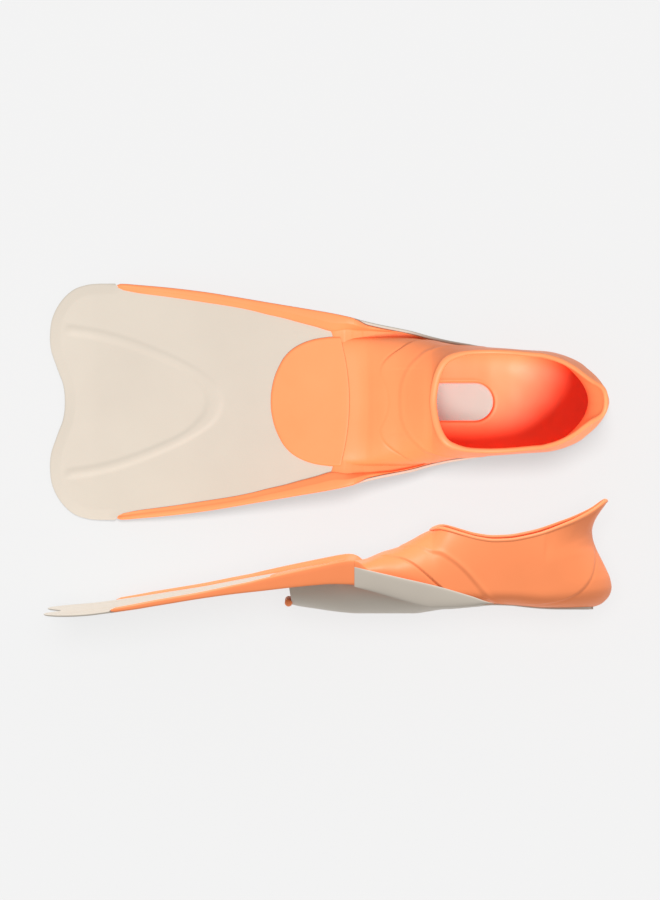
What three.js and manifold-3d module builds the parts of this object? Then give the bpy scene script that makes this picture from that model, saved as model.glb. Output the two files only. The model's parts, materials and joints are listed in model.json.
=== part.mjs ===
// A pair of full-foot swim fins: fin a lies sole down, fin b lies on its side beside it.
// Millimetres, +Z up. Each fin is made in its own frame: tip towards -X, heel towards +X, sole at z = 0.
// Each fin is a stiff pale moulding (blade, wings, sole) with a soft orange moulding on it
// (rails, tongue panel, foot pocket, rim, heel tab, footbed).
import * as THREE from "three";
import Module from "manifold-3d";

const wasm = await Module();
wasm.setup();
const { Manifold, Mesh: SolidMesh } = wasm;

// ---- driving dimensions ----
const GAP = 0.4; // clearance between neighbouring solids
const WALL = 3.4; // rubber wall of the foot pocket
const SOLE_T = 2.9; // stiff sole
const FOOTBED_T = 3.0; // rubber floor of the pocket
const WING_T = 3.0; // side fairing
const PANEL_T = 2.3; // tongue panel over the blade root
const BEAD_R = 1.8; // rolled edge round the foot opening
const HINGE_X = -61.2; // line across the blade where it flexes
const HINGE_Z = 30.6;
const TAB_BASE_Z = 83; // underside of the heel tab
const FRONT_X = -33; // front edge of the sole, where the toe end is open
const SOLE_END_X = 236;
const POCKET_X = 14.3; // front edge of the toe cap
const WINDOW = { x0: 56, x1: 147, half: 17.6 }; // window in the footbed
const FIN_SPACING = 188; // from the centreline of fin a to the sole of fin b
const SIDE_ROLL = 1.5; // degrees the instep of the side-lying fin turns up from square on edge
const SIDE_SHIFT = -0.5; // along the fins
const HEIGHT_FACTOR = 0.975; // every height in the tables below is taken down by this

// ---- profiles along the fin, [x, value] ----
// half-width of the whole outline
const OUTER = [
  [-221, 105.3], [-214, 106.2], [-185, 106.2], [-171, 104.9], [-142, 102.2],
  [-113, 98.6], [-85, 94.1], [-56, 89.1], [-27, 84.2], [1.8, 79.2],
  [16, 76.2], [31, 72.2], [45, 69], [59.4, 66.2], [73.8, 63.2], [88.2, 59.2],
  [102.6, 55.8], [117, 53.1], [131.4, 50.9], [145.8, 49],
];
// half-width inside the rails
const RAIL_IN = [
  [-190.8, 100.5], [-171, 97.8], [-142.2, 94], [-113.4, 89.6], [-84.6, 85],
  [-70.2, 81.5], [-55.8, 78.3], [-41.4, 75], [-27, 71], [-12.6, 67.2],
  [1.8, 63.2], [16.2, 62.4], [45, 60.6], [62, 59.9],
];
const RAIL_LOW = [
  [-190.8, 5.2], [-171, 8.2], [-142.2, 12.5], [-113.4, 16.5], [-84.6, 20],
  [-62, 22], [-55.8, 22.6], [-27, 26.5], [1.8, 29.5], [22.5, 31], [36, 28],
  [62, 21.5],
];
const RAIL_TOP = [
  [-190.8, 9.4], [-171, 13.8], [-142.2, 20], [-113.4, 26], [-84.6, 33.5],
  [-62, 37.5], [-55.8, 38.8], [-27, 44.5], [1.8, 50], [16.2, 53], [21, 53.6],
  [25, 48], [36, 44], [62, 36.4],
];
const BLADE_Z = [
  [-253, 1.6], [-243, 1.7], [-229, 2.2], [-214, 3.2], [-200, 5], [-185, 7.6],
  [-171, 10.6], [-156.6, 13.4], [-142.2, 16.1], [-113.4, 21.2], [-84.6, 26.6],
  [-61.2, 30.6], [-27, 36.2], [1.8, 40.5], [16.2, 42.3],
];
const BLADE_T = [[-253, 2.2], [-240, 2.8], [-61, 3.4], [16, 3.4]];
// fish-tail edge of the tip: [distance from the centreline, x]
const TIP = [
  [0, -238.5], [11, -239], [18, -240.5], [23.5, -243], [29, -245], [34, -246.8],
  [40, -249], [46, -250.8], [51, -251.6], [57, -252], [63, -251.6],
  [69, -251.2], [74, -250.2], [79, -248.4], [84.5, -245.8], [90, -242.4],
  [95, -238.8], [99, -235.2], [102.3, -230], [104.8, -221.5], [106.2, -207],
];
// foot pocket, outside: half-width, bottom, top, height of the widest point
const POCKET_W = [
  [-33, 40], [-20, 45.5], [0, 51], [14, 56.4], [30, 57.4], [60, 57.4],
  [73.8, 56.6], [88.2, 54.6], [102.6, 51.8], [117, 49.4], [131.4, 47.9],
  [145.8, 48.4], [174.6, 46.4], [203.4, 42.6], [217.8, 37.8], [228, 31],
  [236, 24.6], [243, 18.4], [248.5, 11.6], [252.2, 4],
];
const POCKET_LOW = [
  [-33, 8], [-27, 6.6], [-12.6, 4.4], [1.8, 2.2], [16.2, 0.6], [25, 0],
  [74, 0], [88, 1.8], [102.6, 4.5], [117, 5.8], [131.4, 7.2], [145.8, 8.4],
  [160, 8], [174.6, 6.4], [189, 5], [203, 4.5], [232, 4.5], [240, 6.5],
  [245.5, 10], [250, 15], [252.6, 20],
];
const POCKET_TOP = [
  [-33, 34], [14, 46.4], [30, 49.4], [45, 55.4], [59.4, 60.8], [73.8, 67.6],
  [88.2, 75], [99, 81], [103, 87.5], [112.5, 100], [128, 120], [145.8, 126],
  [171, 122], [189, 117], [203.4, 111], [216, 101], [225, 93.5], [228, 90],
  [231, 81], [233, 73], [236, 63], [239.4, 55], [243, 47], [248.5, 35],
  [252.2, 26],
];
const POCKET_MID = [[-33, 24], [14, 32], [60, 32], [100, 27], [150, 25], [252.6, 22.6]];
// foot pocket, inside
const HOLLOW_W = [
  [-45, 36.5], [-33, 36.5], [-20, 42], [0, 47.5], [14, 53], [30, 54], [60, 54],
  [73.8, 53.2], [88.2, 51.2], [102.6, 48.4], [117, 46], [131.4, 44.5],
  [145.8, 45], [174.6, 43], [203.4, 38.2], [217.8, 32.2], [228, 24],
  [236, 17], [242, 10], [246.4, 3],
];
const HOLLOW_TOP = [
  [-45, 30], [14, 43], [30, 46], [45, 52], [59.4, 57.4], [73.8, 64.2],
  [88.2, 71.6], [99, 77.6], [103, 84], [112.5, 96.5], [128, 116.5],
  [145.8, 122], [171, 118], [189, 112], [203.4, 103], [216, 92.5],
  [221, 89.6], [225, 84], [228, 75], [231, 65], [236, 51], [242, 37],
  [246.4, 26],
];
// top of the foot opening, as seen from the side
const RIM = [
  [96, 80.6], [99, 80], [102.6, 79.4], [117, 74.7], [131.4, 70.4],
  [145.8, 68.5], [160.2, 69.2], [174.6, 71.8], [189, 75.8], [203.4, 80.8],
  [217.8, 86], [221.5, 87.4],
];
// line where the stiff trough meets the rubber, as seen from the side
const SPLIT = [
  [-33, 27.4], [-27, 28.8], [1.8, 33.4], [13.8, 35.6], [13.9, 30], [45, 26],
  [73.8, 20], [88, 14], [99, 10.5], [117, 8.7], [131.4, 10.1], [145.8, 11.3],
  [160, 10.9], [174.6, 9.3], [189, 7.9], [203, 7.4], [SOLE_END_X, 7.4],
];
// seams over the pocket, as seen from the side
const SEAM_TOE = [
  [46, 200], [46, 57], [56.7, 54.6], [67.5, 50.4], [73.8, 46.8], [85.5, 37.8],
  [95.4, 27.9], [104, 18], [110, -20],
];
const SEAM_BAND = [
  [65, 200], [65, 62], [76, 58.5], [92.7, 54], [108, 46], [126, 30],
  [139.5, 19], [160, 8], [166, -20],
];
const WING_TOP = [[22.9, 46.6], [36, 42.6], [63, 36.2], [99, 27], [135, 15.6]];
const WING_LOW = [[22.9, 30.6], [63, 20.6], [76.5, 15.2], [90, 10.4], [110, 9.4], [135, 12]];

// ---- shape helpers ----
function at(table, x) {
  if (x <= table[0][0]) return table[0][1];
  for (let i = 1; i < table.length; i++)
    if (x <= table[i][0]) {
      const [a, va] = table[i - 1],
        [b, vb] = table[i];
      return va + ((vb - va) * (x - a)) / (b - a);
    }
  return table[table.length - 1][1];
}

function solid(verts, faces) {
  const make = (list) =>
    new Manifold(
      new SolidMesh({
        numProp: 3,
        vertProperties: new Float32Array(verts.flat()),
        triVerts: new Uint32Array(list.flat()),
      }),
    );
  const made = make(faces);
  return made.volume() < 0 ? make(faces.map(([a, b, c]) => [a, c, b])) : made;
}

// Closed body through rings of equal length, with flat ends.
function loft(rings) {
  const n = rings[0].length,
    verts = rings.flat(),
    faces = [];
  for (let i = 0; i + 1 < rings.length; i++)
    for (let k = 0; k < n; k++) {
      const a = i * n + k,
        b = i * n + ((k + 1) % n);
      faces.push([a, b, b + n], [a, b + n, a + n]);
    }
  for (const [ring, start, same] of [
    [rings[0], 0, false],
    [rings[rings.length - 1], (rings.length - 1) * n, true],
  ]) {
    const normal = new THREE.Vector3();
    ring.forEach((p, k) => {
      const q = ring[(k + 1) % n];
      normal.x += (p[1] - q[1]) * (p[2] + q[2]);
      normal.y += (p[2] - q[2]) * (p[0] + q[0]);
      normal.z += (p[0] - q[0]) * (p[1] + q[1]);
    });
    normal.normalize();
    const u = new THREE.Vector3(
      Math.abs(normal.x) < 0.8 ? 1 : 0,
      Math.abs(normal.x) < 0.8 ? 0 : 1,
      0,
    )
      .cross(normal)
      .normalize();
    const w = new THREE.Vector3().crossVectors(normal, u);
    const flat = ring.map((p) => {
      const q = new THREE.Vector3(...p);
      return new THREE.Vector2(q.dot(u), q.dot(w));
    });
    const turn = (a, b, c) =>
      (b.x - a.x) * (c.y - a.y) - (b.y - a.y) * (c.x - a.x);
    for (const [a, b, c] of THREE.ShapeUtils.triangulateShape(flat, [])) {
      const ccw = turn(flat[a], flat[b], flat[c]) > 0;
      faces.push(
        ccw === same
          ? [start + a, start + b, start + c]
          : [start + a, start + c, start + b],
      );
    }
  }
  return solid(verts, faces);
}

// Straight prism across the fin with an outline in x and z.
const acrossPrism = (outline, half = 150) =>
  loft([-half, half].map((y) => outline.map(([x, z]) => [x, y, z])));

const mirrored = (s) => s.mirror([0, 1, 0]);

// Rounded section of the pocket at x.
function pocketRing(x, w, low, mid, top, n = 11) {
  const ring = [];
  for (let k = 0; k < 2 * n; k++) {
    const a = (k / (2 * n)) * 2 * Math.PI - Math.PI / 2;
    const c = Math.cos(a),
      s = Math.sin(a);
    const power = s < 0 ? 2 / 3.4 : 2 / 2.3;
    // the underside is flat between the two lowest corners
    const drop = Math.cos(Math.PI / n) ** power;
    const rise = s < 0 ? Math.min(1, Math.abs(s) ** power / drop) : s ** power;
    ring.push([
      x,
      w * Math.sign(c) * Math.abs(c) ** power,
      mid + (s < 0 ? -(mid - low) : top - mid) * rise,
    ]);
  }
  return ring;
}
// Half-width of that section at a height above its widest point.
const halfAt = (w, mid, top, z) =>
  w * Math.max(0, 1 - Math.max(0, (z - mid) / (top - mid)) ** 2.3) ** (1 / 2.3);

// ---- the pieces of one fin ----
function fin() {
  const parts = {};
  const both = (name, make) => {
    parts[name + "_left"] = mirrored(make);
    parts[name + "_right"] = make;
  };

  // Blade in front of the flex line: strips across the fin, from the fish-tail edge back to the line or the rail.
  const backOf = (y) => {
    const limit = at(RAIL_IN, HINGE_X) - GAP;
    if (y <= limit) return HINGE_X - 0.6;
    for (let x = HINGE_X; x > -190.8; x -= 0.5)
      if (at(RAIL_IN, x) - GAP >= y) return x;
    return -191.3;
  };
  const ys = [0, 18, 29, 40, 57, 74, 79, 90, 96, 100, 103, 105, 106.2];
  const ends = [...ys.slice(1).reverse().map((y) => -y), ...ys];
  const steps = [0, 0.05, 0.16, 0.3, 0.46, 0.64, 0.82, 1];
  parts.blade = loft(
    ends.map((y) => {
      const x0 = at(TIP, Math.abs(y)),
        x1 = backOf(Math.abs(y));
      const xs = steps.map((s) => x0 + (x1 - x0) * s);
      const top = xs.map((x) => [x, y, at(BLADE_Z, x) + at(BLADE_T, x) / 2]);
      const low = xs.map((x) => [x, y, at(BLADE_Z, x) - at(BLADE_T, x) / 2]);
      return [...low, ...top.reverse()];
    }),
  );

  // Blade root under the tongue panel.
  const rootX = [HINGE_X + 0.6, -41.4, -27, -12.6, 1.8, POCKET_X - 0.5];
  const plate = (xs, half, low, high) =>
    loft(
      xs.map((x) => [
        [x, -half(x), low(x)],
        [x, half(x), low(x)],
        [x, half(x), high(x)],
        [x, -half(x), high(x)],
      ]),
    );
  const rootTop = (x) => at(BLADE_Z, x) + at(BLADE_T, x) / 2;
  parts.blade_root = plate(
    rootX,
    (x) => at(RAIL_IN, x) - GAP,
    (x) => at(BLADE_Z, x) - at(BLADE_T, x) / 2,
    rootTop,
  );

  // Tongue panel: rounded front, straight sides, on top of the blade root.
  const PANEL = [
    [-53, 6], [-52, 14], [-49.5, 23], [-46, 31], [-41.4, 39.5], [-34, 46.4],
    [-27, 51], [-19.8, 54], [-12.6, 56], [-5.4, 57.2], [1.8, 57.6], [13.8, 57.6],
  ];
  parts.toe_panel = plate(
    PANEL.map((p) => p[0]),
    (x) => at(PANEL, x),
    (x) => rootTop(x) + 0.3,
    (x) => rootTop(x) + 0.3 + PANEL_T * Math.min(1, 0.5 + (x + 53) / 8),
  );

  // Edge rails.
  const railRing = (x, y0, y1, z0, z1, shift = () => 0) => {
    const r = Math.min(1.6, (y1 - y0) / 3, (z1 - z0) / 3);
    return [
      [y0 + r, z0], [y1 - r, z0], [y1, z0 + r], [y1, z1 - r],
      [y1 - r, z1], [y0 + r, z1], [y0, z1 - r], [y0, z0 + r],
    ].map(([y, z]) => [x + shift(z), y, z]);
  };
  const wedge = (z) => -(Math.abs(z - HINGE_Z) / 8.6) * 3.5;
  both(
    "rail_front",
    loft(
      [-190.8, -186, -171, -142.2, -113.4, -84.6, -70.2, HINGE_X - 0.3].map((x) => {
        const nose = x < -190 ? 1.2 : 0; // the rail starts as a thin nose
        return railRing(
          x,
          at(RAIL_IN, x) + nose,
          at(OUTER, x),
          at(RAIL_LOW, x) + nose,
          at(RAIL_TOP, x) - nose,
          x > HINGE_X - 1 ? wedge : undefined,
        );
      }),
    ),
  );
  both(
    "rail_rear",
    loft(
      [HINGE_X + 0.3, -41.4, -27, -12.6, 1.8, 13.2, 14.8, 21.6, 22.8, 36, 48, 62].map((x) => {
        const y1 = x > 22 ? at(OUTER, x) - WING_T - GAP : at(OUTER, x);
        const y0 = at(RAIL_IN, x),
          z0 = at(RAIL_LOW, x),
          z1 = at(RAIL_TOP, x);
        // beside the pocket a thin web runs inwards from the foot of the rail
        const web = x > 14 ? at(POCKET_W, x) + 0.5 : y0 - 0.15;
        return [
          [x, web, z0], [x, y1, z0], [x, y1, z1 - 1.2], [x, y1 - 1, z1],
          [x, y0 + 0.6, z1], [x, y0, z1 - 1.2], [x, y0, z0 + 3.4], [x, web, z0 + 3.2],
        ];
      }),
    ),
  );

  // Side fairings outside the rails and the pocket.
  both(
    "wing",
    loft(
      [22.9, 30, 45, 59.4, 73.8, 88.2, 102.6, 117, 135].map((x) => {
        const t = Math.min(WING_T, at(OUTER, x) - at(POCKET_W, x) - GAP);
        const y1 = at(OUTER, x),
          y0 = y1 - t;
        return [
          [x, y0, at(WING_LOW, x)],
          [x, y1, at(WING_LOW, x) + 0.4],
          [x, y1, at(WING_TOP, x) - 0.6],
          [x, y0, at(WING_TOP, x)],
        ];
      }),
    ),
  );

  // Foot pocket: outer body minus the hollow, then cut along its seams.
  const outX = POCKET_W.map((p) => p[0]);
  const outerBody = loft(
    outX.map((x) =>
      pocketRing(x, at(POCKET_W, x), at(POCKET_LOW, x), at(POCKET_MID, x), at(POCKET_TOP, x)),
    ),
  );
  const hollow = (inset) =>
    loft(
      HOLLOW_W.map(([x]) =>
        pocketRing(
          x - (x > 240 ? inset : 0),
          Math.max(0.6, at(HOLLOW_W, x) - inset),
          at(POCKET_LOW, x) + SOLE_T + inset,
          at(POCKET_MID, x),
          at(HOLLOW_TOP, x) - inset,
        ),
      ),
    );
  const shell = outerBody.subtract(hollow(0));
  const below = (table, lift, x0, x1, floor = -30) =>
    acrossPrism([
      [x0, floor],
      [x1, floor],
      [x1, at(table, x1) + lift],
      ...table
        .filter(([x]) => x > x0 && x < x1)
        .map(([x, z]) => [x, z + lift])
        .reverse(),
      [x0, at(table, x0) + lift],
    ]);
  parts.sole = shell.intersect(below(SPLIT, -0.15, -40, SOLE_END_X));

  const rimCut = acrossPrism([
    [95, 76.6], ...RIM.slice(1, 11).map(([x, z]) => [x, z - 2 * BEAD_R - 0.3]),
    [221, TAB_BASE_Z - 0.5], [300, TAB_BASE_Z - 0.5], [300, 300], [95, 300],
  ]);
  const upper = shell
    .subtract(below(SPLIT, 0.2, -60, SOLE_END_X + 0.4))
    .subtract(acrossPrism([[-80, -30], [POCKET_X, -30], [POCKET_X, 300], [-80, 300]]))
    .subtract(rimCut);
  const behind = (seam, shift) =>
    acrossPrism([
      ...seam.map(([x, z]) => [x + shift, z]),
      [400, -20],
      [400, 200],
    ]);
  parts.toe_cap = upper.subtract(behind(SEAM_TOE, -0.15));
  parts.instep_band = upper
    .intersect(behind(SEAM_TOE, 0.15))
    .subtract(behind(SEAM_BAND, -0.15));
  parts.heel_cup = upper.intersect(behind(SEAM_BAND, 0.15));

  // Footbed with the window in it, and the pale pad that fills the window.
  const floorTop = POCKET_LOW.filter(([x]) => x < 240).map(([x, z]) => [x, z + SOLE_T + 0.3 + FOOTBED_T]);
  const bed = hollow(0.35).intersect(below(floorTop, 0, -28, 234));
  const window = (inset) => {
    const r = WINDOW.half - inset,
      xc = WINDOW.x1 - WINDOW.half,
      outline = [[WINDOW.x0 + inset, r], [WINDOW.x0 + inset, -r]];
    for (let k = 0; k <= 10; k++) {
      const a = -Math.PI / 2 + (k / 10) * Math.PI;
      outline.push([xc + r * Math.cos(a), r * Math.sin(a)]);
    }
    return loft([-10, 60].map((z) => outline.map(([x, y]) => [x, y, z])));
  };
  parts.footbed = bed.subtract(window(0));
  parts.footbed_insert = bed.intersect(window(0.35));

  // Rubber lip along the front edge of the sole.
  const lip = [];
  for (let k = 0; k < 10; k++) {
    const a = (k / 10) * 2 * Math.PI;
    lip.push([FRONT_X - 3.9 + 3.4 * Math.cos(a), 9.9 + 3.4 * Math.sin(a)]);
  }
  parts.toe_lip = acrossPrism(lip, 34);

  // Rolled edge of the foot opening, from one side of the heel tab round the instep to the other.
  const path = [];
  const beadY = (x) => {
    const z = at(RIM, x) - BEAD_R;
    return Math.max(0, halfAt(at(POCKET_W, x), at(POCKET_MID, x), at(POCKET_TOP, x), z) - 1.5);
  };
  for (const x of [
    220.5, 213, 203.4, 189, 172, 152, 134, 121, 112, 105.6, 101.6, 99.4,
  ])
    path.push([x, beadY(x), at(RIM, x) - BEAD_R]);
  const tube = [];
  const whole = [...path, [98, 0, at(RIM, 98) - BEAD_R], ...path.map(([x, y, z]) => [x, -y, z]).reverse()];
  whole.forEach((p, i) => {
    const a = new THREE.Vector3(...whole[Math.max(0, i - 1)]),
      b = new THREE.Vector3(...whole[Math.min(whole.length - 1, i + 1)]);
    const along = b.sub(a).normalize();
    const side = new THREE.Vector3(0, 0, 1).cross(along).normalize();
    const up = new THREE.Vector3().crossVectors(along, side);
    const ring = [];
    for (let k = 0; k < 7; k++) {
      const t = (k / 7) * 2 * Math.PI;
      ring.push(
        new THREE.Vector3(...p)
          .addScaledVector(side, BEAD_R * Math.cos(t))
          .addScaledVector(up, BEAD_R * Math.sin(t))
          .toArray(),
      );
    }
    tube.push(ring);
  });
  parts.rim_bead = loft(tube);

  // Flared pull tab on top of the heel.
  const TAB = [
    [228.6, 83, 234.6, 83, 18.5],
    [230.4, 89, 237.4, 87, 17.5],
    [234, 94.6, 241, 90.8, 15.5],
    [239.6, 99.2, 245, 96, 12],
    [244.6, 102.8, 247.4, 100.6, 7],
  ];
  parts.heel_tab = loft(
    TAB.map(([xi, zi, xo, zo, half], j) => {
      const across = [-1, -0.6, -0.2, 0.2, 0.6, 1].map((s) => s * half);
      const bow = (y) => 0.0248 * (1 - 0.2 * j) * y * y;
      return [
        ...across.map((y) => [xi - bow(y), y, zi]),
        ...across.reverse().map((y) => [xo - bow(y), y, zo]),
      ];
    }),
  );
  return parts;
}

// ---- finishes ----
const PALE = { color: 0xe3d7c6, roughness: 0.5, metalness: 0 };
const ORANGE = { color: 0xff9a61, roughness: 0.45, metalness: 0 };
const PALE_PARTS = /^(blade|blade_root|wing_left|wing_right|sole|footbed_insert)$/;

function dress(parts, suffix) {
  const group = new THREE.Group();
  for (const [name, body] of Object.entries(parts)) {
    const mesh = body.getMesh();
    const geometry = new THREE.BufferGeometry();
    const flat = new Float32Array(mesh.numVert * 3);
    for (let i = 0; i < mesh.numVert; i++)
      for (let k = 0; k < 3; k++) flat[3 * i + k] = mesh.vertProperties[i * mesh.numProp + k];
    geometry.setAttribute("position", new THREE.BufferAttribute(flat, 3));
    geometry.setIndex(Array.from(mesh.triVerts));
    geometry.computeVertexNormals();
    const made = new THREE.Mesh(
      geometry,
      new THREE.MeshStandardMaterial(PALE_PARTS.test(name) ? PALE : ORANGE),
    );
    made.name = name + suffix;
    group.add(made);
  }
  return group;
}

const parts = fin();
const pair = new THREE.Group();
const finA = dress(parts, "_a");
const finB = dress(parts, "_b");
pair.add(finA, finB);

finA.scale.z = HEIGHT_FACTOR;
finB.scale.z = HEIGHT_FACTOR;

// Fin b lies on its side: its sole faces -Y and it stands on the outer edge of its rail.
finB.rotation.set(THREE.MathUtils.degToRad(SIDE_ROLL - 90), 0, 0);
const lean = new THREE.Group();
lean.add(finB);
pair.add(lean);
pair.updateMatrixWorld(true);

// The row stands with its lowest point at z = 0 and its box centred on the origin.
const boxB = new THREE.Box3().setFromObject(lean, true);
lean.position.z -= boxB.min.z;
lean.position.x = SIDE_SHIFT;
lean.position.y = -FIN_SPACING;
pair.updateMatrixWorld(true);
const all = new THREE.Box3().setFromObject(pair, true);
pair.position.set(-(all.min.x + all.max.x) / 2, -(all.min.y + all.max.y) / 2, -all.min.z);
pair.updateMatrixWorld(true);

const row = new THREE.Group();
row.add(pair);
export default row;
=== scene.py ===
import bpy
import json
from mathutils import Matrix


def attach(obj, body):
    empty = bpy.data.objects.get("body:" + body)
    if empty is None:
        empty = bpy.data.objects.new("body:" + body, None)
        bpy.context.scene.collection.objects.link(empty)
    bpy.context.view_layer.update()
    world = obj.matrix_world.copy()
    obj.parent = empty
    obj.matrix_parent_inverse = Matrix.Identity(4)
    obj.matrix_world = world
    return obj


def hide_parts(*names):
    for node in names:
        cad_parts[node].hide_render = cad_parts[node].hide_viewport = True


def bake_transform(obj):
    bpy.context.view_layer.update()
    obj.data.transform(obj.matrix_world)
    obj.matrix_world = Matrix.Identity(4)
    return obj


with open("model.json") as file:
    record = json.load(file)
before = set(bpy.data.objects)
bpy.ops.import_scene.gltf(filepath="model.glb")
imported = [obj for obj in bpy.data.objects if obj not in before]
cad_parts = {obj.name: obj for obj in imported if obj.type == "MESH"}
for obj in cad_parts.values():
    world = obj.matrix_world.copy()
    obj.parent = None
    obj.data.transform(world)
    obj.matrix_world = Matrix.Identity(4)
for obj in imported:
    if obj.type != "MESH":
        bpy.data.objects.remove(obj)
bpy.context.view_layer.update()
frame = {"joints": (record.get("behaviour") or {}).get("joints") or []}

import json
import math

import bmesh
import bpy
import numpy as np
from mathutils import Vector

# ---------------------------------------------------------------- placing
# Each fin is modelled in its own frame in millimetres: tip -X, heel +X, sole at z 0.
HEIGHT_FACTOR = 0.975  # heights in the tables are taken down by this
HINGE = np.array([-61.2, 0.0, 30.6 * HEIGHT_FACTOR])
JOINT = {j["name"]: j for j in frame["joints"]}


def rot_x(d):
    c, s = math.cos(math.radians(d)), math.sin(math.radians(d))
    return np.array([[1, 0, 0], [0, c, -s], [0, s, c]])


ROT = {"a": np.eye(3), "b": rot_x(-88.5)}
POS = {
    f: np.array(JOINT["blade_flex_" + f]["pos_m"]) * 1000 - ROT[f] @ HINGE for f in "ab"
}


def place(v, f):
    v = np.asarray(v, float) * [1, 1, HEIGHT_FACTOR]
    return (v @ ROT[f].T + POS[f]) / 1000


# ---------------------------------------------------------------- curves
def pchip(pairs):
    """Smooth curve through the pairs with no overshoot."""
    xs = np.array([p[0] for p in pairs], float)
    ys = np.array([p[1] for p in pairs], float)
    h = np.diff(xs)
    d = np.diff(ys) / h
    m = np.zeros(len(xs))
    for i in range(1, len(xs) - 1):
        if d[i - 1] * d[i] > 0:
            w1, w2 = 2 * h[i] + h[i - 1], h[i] + 2 * h[i - 1]
            m[i] = (w1 + w2) / (w1 / d[i - 1] + w2 / d[i])
    m[0], m[-1] = d[0], d[-1]

    def f(x):
        x = np.clip(np.asarray(x, float), xs[0], xs[-1])
        i = np.clip(np.searchsorted(xs, x) - 1, 0, len(h) - 1)
        t = (x - xs[i]) / h[i]
        return (
            ys[i] * (1 + 2 * t) * (1 - t) ** 2
            + m[i] * h[i] * t * (1 - t) ** 2
            + ys[i + 1] * t * t * (3 - 2 * t)
            + m[i + 1] * h[i] * t * t * (t - 1)
        )

    return f


def smooth(a, b, x):
    t = np.clip((np.asarray(x, float) - a) / (b - a), 0, 1)
    return t * t * (3 - 2 * t)


def resample(points, n):
    """n points evenly spaced along a polyline."""
    p = np.asarray(points, float)
    s = np.r_[0, np.cumsum(np.linalg.norm(np.diff(p, axis=0), axis=1))]
    t = np.linspace(0, s[-1], n) if np.isscalar(n) else np.asarray(n) * s[-1]
    return np.stack([np.interp(t, s, p[:, k]) for k in range(p.shape[1])], 1)


def spline(points, n):
    """Smooth curve through the points, evenly sampled."""
    p = np.asarray(points, float)
    s = np.r_[0, np.cumsum(np.linalg.norm(np.diff(p, axis=0), axis=1))]
    t = np.linspace(0, s[-1], 600)
    q = np.stack([pchip(list(zip(s, p[:, k])))(t) for k in range(p.shape[1])], 1)
    return resample(q, n)


def chaikin(ring, times=2, keep=0.25):
    ring = np.asarray(ring, float)
    for _ in range(times):
        nxt = np.roll(ring, -1, 0)
        ring = np.stack([ring * (1 - keep) + nxt * keep, ring * keep + nxt * (1 - keep)], 1)
        ring = ring.reshape(-1, ring.shape[-1])
    return ring


def to_line(px, py, line):
    """Signed distance in a plane from points to a polyline, and how far along it (0 to 1). Positive lies on the right of its direction."""
    best = np.full(px.shape, 1e9)
    sign = np.ones(px.shape)
    where = np.zeros(px.shape)
    line = np.asarray(line, float)
    n = len(line) - 1
    for i in range(n):
        a, b = line[i], line[i + 1]
        d = b - a
        l2 = d @ d
        if l2 < 1e-12:
            continue
        t = np.clip(((px - a[0]) * d[0] + (py - a[1]) * d[1]) / l2, 0, 1)
        qx, qy = px - a[0] - t * d[0], py - a[1] - t * d[1]
        r = np.hypot(qx, qy)
        near = r < best
        best = np.where(near, r, best)
        sign = np.where(near, np.where(d[0] * qy - d[1] * qx > 0, -1.0, 1.0), sign)
        where = np.where(near, (i + t) / n, where)
    return best, sign, where


# ---------------------------------------------------------------- profiles, mm
OUTER = pchip([
    (-221, 105.3), (-214, 106.2), (-200, 106.3), (-185, 106.0), (-171, 104.9), (-142, 102.2),
    (-113, 98.6), (-85, 94.1), (-56, 89.1), (-27, 84.2), (1.8, 79.2), (16, 76.2),
    (31, 72.2), (45, 69), (59.4, 66.2), (73.8, 63.2), (88.2, 59.2), (102.6, 55.8),
    (117, 53.1), (131.4, 50.9), (145.8, 49),
])
RAIL_IN = pchip([
    (-192, 100.9), (-171, 97.8), (-142.2, 94), (-113.4, 89.6), (-84.6, 85), (-70.2, 82),
    (-55.8, 78.3), (-41.4, 75), (-27, 71), (-12.6, 67.2), (1.8, 63.2), (16.2, 62.4),
    (45, 60.6), (62, 59.9), (90, 58),
])
RAIL_LOW = pchip([
    (-192, 4.8), (-171, 7.4), (-158, 9.6), (-142.2, 12.2), (-114, 16.8), (-84.6, 20.8), (-70, 22.4), (-62, 23.2),
    (-35, 26.2), (-14, 28.2), (1.8, 29.2), (20, 28.8), (28, 27.8), (36, 25.5), (62, 18.5), (84, 11.5),
])
RAIL_TOP = pchip([
    (-192, 9.0), (-171, 12.6), (-158, 15.2), (-142.2, 18), (-114, 23.0), (-84.6, 29.2), (-70, 32.2), (-62, 34.2),
    (-35, 40.6), (-14, 45.2), (1.8, 48.6), (10, 50.2), (17, 51.0), (24, 50.4), (31, 48.0),
    (38, 43.0), (45, 39.6), (62, 34), (84, 27.5),
])
BLADE_Z = pchip([
    (-253, 1.6), (-243, 1.7), (-229, 2.2), (-214, 3.2), (-200, 4.9), (-185, 7.0),
    (-171, 9.2), (-156.6, 11.5), (-142.2, 13.9), (-113.4, 18.7), (-84.6, 24.5),
    (-61.2, 29.2), (-27, 35.2), (1.8, 40.0), (16.2, 42.3), (30, 43.5),
])
BLADE_T = pchip([(-253, 2.6), (-240, 2.9), (-61, 3.4), (30, 3.4)])
TIP = [
    (0, -238.5), (6, -238.7), (12, -239.4), (18, -240.8), (23.5, -242.9), (29, -245), (34, -246.8),
    (40, -249), (46, -250.8), (51, -251.6), (57, -252), (63, -251.8), (69, -251.2),
    (74, -250.2), (79, -248.4), (84.5, -245.8), (90, -242.2), (95, -238.0), (99, -233.4),
    (102.3, -228), (104.6, -221), (105.9, -214), (106.3, -207),
]
POCKET_W = pchip([
    (-33, 40), (-20, 45.5), (0, 51), (14, 56.4), (30, 57.4), (60, 57.4), (73.8, 56.8),
    (88.2, 54.8), (102.6, 52), (117, 49.8), (131.4, 48.5), (145.8, 47.9), (160, 47.2),
    (174.6, 46.1), (183, 45.5), (190, 45.2),
])
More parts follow.
